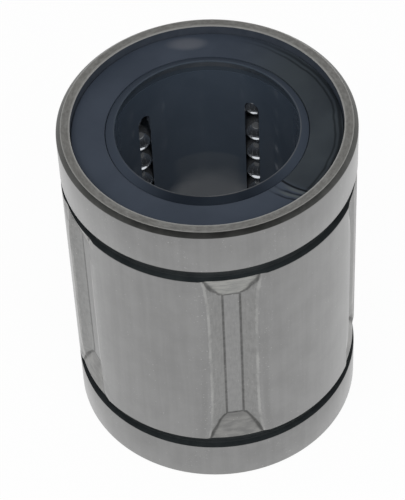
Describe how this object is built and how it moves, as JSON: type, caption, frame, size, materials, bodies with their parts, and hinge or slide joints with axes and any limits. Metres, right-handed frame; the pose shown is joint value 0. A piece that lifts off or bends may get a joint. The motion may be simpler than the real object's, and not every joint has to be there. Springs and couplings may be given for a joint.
{
  "type": "linear ball bearing",
  "caption": "Linear ball bearing: pressed steel sleeve with two ring grooves around a resin cage with recirculating ball circuits, for a plain round shaft.",
  "frame": {"origin": "centre of the lower end face, on the bore axis", "axes": "+Z along the bore; -Y is the front of the picture, +X its right"},
  "size_m": [0.032, 0.032, 0.042],
  "materials": {
    "ground_steel": "hardened bearing steel, ground on the outside, darker unground grooves and chamfers",
    "ball_steel": "polished bearing balls, lightly oiled",
    "black_resin": "moulded black resin with a thin oil film",
    "black_rubber": "black oil-proof rubber"
  },
  "bodies": {
    "sleeve_and_cage": {"outer_sleeve": "ground_steel", "ball_cage": "black_resin", "end_ring_top": "black_resin", "end_ring_bottom": "black_resin", "seal_top": "black_rubber", "seal_bottom": "black_rubber"},
    "circuit_1_load_row": {"circuit_1_load_ball_1": "ball_steel", "circuit_1_load_ball_2": "ball_steel", "circuit_1_load_ball_3": "ball_steel", "circuit_1_load_ball_4": "ball_steel", "circuit_1_load_ball_5": "ball_steel", "circuit_1_load_ball_6": "ball_steel", "circuit_1_load_ball_7": "ball_steel"},
    "circuit_1_return_row": {"circuit_1_return_balls": "ball_steel"},
    "circuit_1_upper_turn": {"circuit_1_upper_turn_balls": "ball_steel"},
    "circuit_1_lower_turn": {"circuit_1_lower_turn_balls": "ball_steel"},
    "circuit_2_load_row": {"circuit_2_load_ball_1": "ball_steel", "circuit_2_load_ball_2": "ball_steel", "circuit_2_load_ball_3": "ball_steel", "circuit_2_load_ball_4": "ball_steel", "circuit_2_load_ball_5": "ball_steel", "circuit_2_load_ball_6": "ball_steel", "circuit_2_load_ball_7": "ball_steel"},
    "circuit_2_return_row": {"circuit_2_return_balls": "ball_steel"},
    "circuit_2_upper_turn": {"circuit_2_upper_turn_balls": "ball_steel"},
    "circuit_2_lower_turn": {"circuit_2_lower_turn_balls": "ball_steel"},
    "circuit_3_load_row": {"circuit_3_load_ball_1": "ball_steel", "circuit_3_load_ball_2": "ball_steel", "circuit_3_load_ball_3": "ball_steel", "circuit_3_load_ball_4": "ball_steel", "circuit_3_load_ball_5": "ball_steel", "circuit_3_load_ball_6": "ball_steel", "circuit_3_load_ball_7": "ball_steel"},
    "circuit_3_return_row": {"circuit_3_return_balls": "ball_steel"},
    "circuit_3_upper_turn": {"circuit_3_upper_turn_balls": "ball_steel"},
    "circuit_3_lower_turn": {"circuit_3_lower_turn_balls": "ball_steel"},
    "circuit_4_load_row": {"circuit_4_load_ball_1": "ball_steel", "circuit_4_load_ball_2": "ball_steel", "circuit_4_load_ball_3": "ball_steel", "circuit_4_load_ball_4": "ball_steel", "circuit_4_load_ball_5": "ball_steel", "circuit_4_load_ball_6": "ball_steel", "circuit_4_load_ball_7": "ball_steel"},
    "circuit_4_return_row": {"circuit_4_return_balls": "ball_steel"},
    "circuit_4_upper_turn": {"circuit_4_upper_turn_balls": "ball_steel"},
    "circuit_4_lower_turn": {"circuit_4_lower_turn_balls": "ball_steel"},
    "circuit_5_load_row": {"circuit_5_load_ball_1": "ball_steel", "circuit_5_load_ball_2": "ball_steel", "circuit_5_load_ball_3": "ball_steel", "circuit_5_load_ball_4": "ball_steel", "circuit_5_load_ball_5": "ball_steel", "circuit_5_load_ball_6": "ball_steel", "circuit_5_load_ball_7": "ball_steel"},
    "circuit_5_return_row": {"circuit_5_return_balls": "ball_steel"},
    "circuit_5_upper_turn": {"circuit_5_upper_turn_balls": "ball_steel"},
    "circuit_5_lower_turn": {"circuit_5_lower_turn_balls": "ball_steel"}
  },
  "joints": [
    {"name": "circuit_1_load_travel", "type": "slide", "parent": "sleeve_and_cage", "child": "circuit_1_load_row", "axis": [0, 0, 1], "range_m": [-0.00234, 0.001]},
    {"name": "circuit_1_return_travel", "type": "slide", "parent": "sleeve_and_cage", "child": "circuit_1_return_row", "axis": [0, 0, 1], "range_m": [-0.00101, 0.00235]},
    {"name": "circuit_1_upper_turn_travel", "type": "hinge", "parent": "sleeve_and_cage", "child": "circuit_1_upper_turn", "pos_m": [0.00435, -0.01074, 0.03271], "axis": [-0.2384, 0.9448, 0.225], "range_deg": [-41.99, 18.02]},
    {"name": "circuit_1_lower_turn_travel", "type": "hinge", "parent": "sleeve_and_cage", "child": "circuit_1_lower_turn", "pos_m": [0.00435, -0.01074, 0.00929], "axis": [-0.2384, 0.9448, -0.225], "range_deg": [-41.99, 18.02]},
    {"name": "circuit_2_load_travel", "type": "slide", "parent": "sleeve_and_cage", "child": "circuit_2_load_row", "axis": [0, 0, 1], "range_m": [-0.00067, 0.00268]},
    {"name": "circuit_2_return_travel", "type": "slide", "parent": "sleeve_and_cage", "child": "circuit_2_return_row", "axis": [0, 0, 1], "range_m": [-0.00269, 0.00068]},
    {"name": "circuit_2_upper_turn_travel", "type": "hinge", "parent": "sleeve_and_cage", "child": "circuit_2_upper_turn", "pos_m": [0.01156, 0.00082, 0.03271], "axis": [-0.9722, 0.0653, 0.225], "range_deg": [-12.02, 47.99]},
    {"name": "circuit_2_lower_turn_travel", "type": "hinge", "parent": "sleeve_and_cage", "child": "circuit_2_lower_turn", "pos_m": [0.01156, 0.00082, 0.00929], "axis": [-0.9722, 0.0653, -0.225], "range_deg": [-12.02, 47.99]},
    {"name": "circuit_3_load_travel", "type": "slide", "parent": "sleeve_and_cage", "child": "circuit_3_load_row", "axis": [0, 0, 1], "range_m": [-0.00137, 0.00197]},
    {"name": "circuit_3_return_travel", "type": "slide", "parent": "sleeve_and_cage", "child": "circuit_3_return_row", "axis": [0, 0, 1], "range_m": [-0.00198, 0.00138]},
    {"name": "circuit_3_upper_turn_travel", "type": "hinge", "parent": "sleeve_and_cage", "child": "circuit_3_upper_turn", "pos_m": [0.00279, 0.01125, 0.03271], "axis": [-0.3625, -0.9044, 0.225], "range_deg": [-24.61, 35.4]},
    {"name": "circuit_3_lower_turn_travel", "type": "hinge", "parent": "sleeve_and_cage", "child": "circuit_3_lower_turn", "pos_m": [0.00279, 0.01125, 0.00929], "axis": [-0.3625, -0.9044, -0.225], "range_deg": [-24.61, 35.4]},
    {"name": "circuit_4_load_travel", "type": "slide", "parent": "sleeve_and_cage", "child": "circuit_4_load_row", "axis": [0, 0, 1], "range_m": [-0.00214, 0.0012]},
    {"name": "circuit_4_return_travel", "type": "slide", "parent": "sleeve_and_cage", "child": "circuit_4_return_row", "axis": [0, 0, 1], "range_m": [-0.00121, 0.00215]},
    {"name": "circuit_4_upper_turn_travel", "type": "hinge", "parent": "sleeve_and_cage", "child": "circuit_4_upper_turn", "pos_m": [-0.00983, 0.00613, 0.03271], "axis": [0.7482, -0.6242, 0.225], "range_deg": [-38.4, 21.61]},
    {"name": "circuit_4_lower_turn_travel", "type": "hinge", "parent": "sleeve_and_cage", "child": "circuit_4_lower_turn", "pos_m": [-0.00983, 0.00613, 0.00929], "axis": [0.7482, -0.6242, -0.225], "range_deg": [-38.4, 21.61]},
    {"name": "circuit_5_load_travel", "type": "slide", "parent": "sleeve_and_cage", "child": "circuit_5_load_row", "axis": [0, 0, 1], "range_m": [-0.00117, 0.00218]},
    {"name": "circuit_5_return_travel", "type": "slide", "parent": "sleeve_and_cage", "child": "circuit_5_return_row", "axis": [0, 0, 1], "range_m": [-0.00219, 0.00118]},
    {"name": "circuit_5_upper_turn_travel", "type": "hinge", "parent": "sleeve_and_cage", "child": "circuit_5_upper_turn", "pos_m": [-0.00887, -0.00746, 0.03271], "axis": [0.8249, 0.5186, 0.225], "range_deg": [-21.01, 39]},
    {"name": "circuit_5_lower_turn_travel", "type": "hinge", "parent": "sleeve_and_cage", "child": "circuit_5_lower_turn", "pos_m": [-0.00887, -0.00746, 0.00929], "axis": [0.8249, 0.5186, -0.225], "range_deg": [-21.01, 39]}
  ],
  "couplings": [
    {"joint": "circuit_1_return_travel", "follows": "circuit_1_load_travel", "ratio": -1},
    {"joint": "circuit_1_upper_turn_travel", "follows": "circuit_1_load_travel", "rad_per_m": 312.5},
    {"joint": "circuit_1_lower_turn_travel", "follows": "circuit_1_load_travel", "rad_per_m": 312.5},
    {"joint": "circuit_2_return_travel", "follows": "circuit_2_load_travel", "ratio": -1},
    {"joint": "circuit_2_upper_turn_travel", "follows": "circuit_2_load_travel", "rad_per_m": 312.5},
    {"joint": "circuit_2_lower_turn_travel", "follows": "circuit_2_load_travel", "rad_per_m": 312.5},
    {"joint": "circuit_3_return_travel", "follows": "circuit_3_load_travel", "ratio": -1},
    {"joint": "circuit_3_upper_turn_travel", "follows": "circuit_3_load_travel", "rad_per_m": 312.5},
    {"joint": "circuit_3_lower_turn_travel", "follows": "circuit_3_load_travel", "rad_per_m": 312.5},
    {"joint": "circuit_4_return_travel", "follows": "circuit_4_load_travel", "ratio": -1},
    {"joint": "circuit_4_upper_turn_travel", "follows": "circuit_4_load_travel", "rad_per_m": 312.5},
    {"joint": "circuit_4_lower_turn_travel", "follows": "circuit_4_load_travel", "rad_per_m": 312.5},
    {"joint": "circuit_5_return_travel", "follows": "circuit_5_load_travel", "ratio": -1},
    {"joint": "circuit_5_upper_turn_travel", "follows": "circuit_5_load_travel", "rad_per_m": 312.5},
    {"joint": "circuit_5_lower_turn_travel", "follows": "circuit_5_load_travel", "rad_per_m": 312.5}
  ]
}
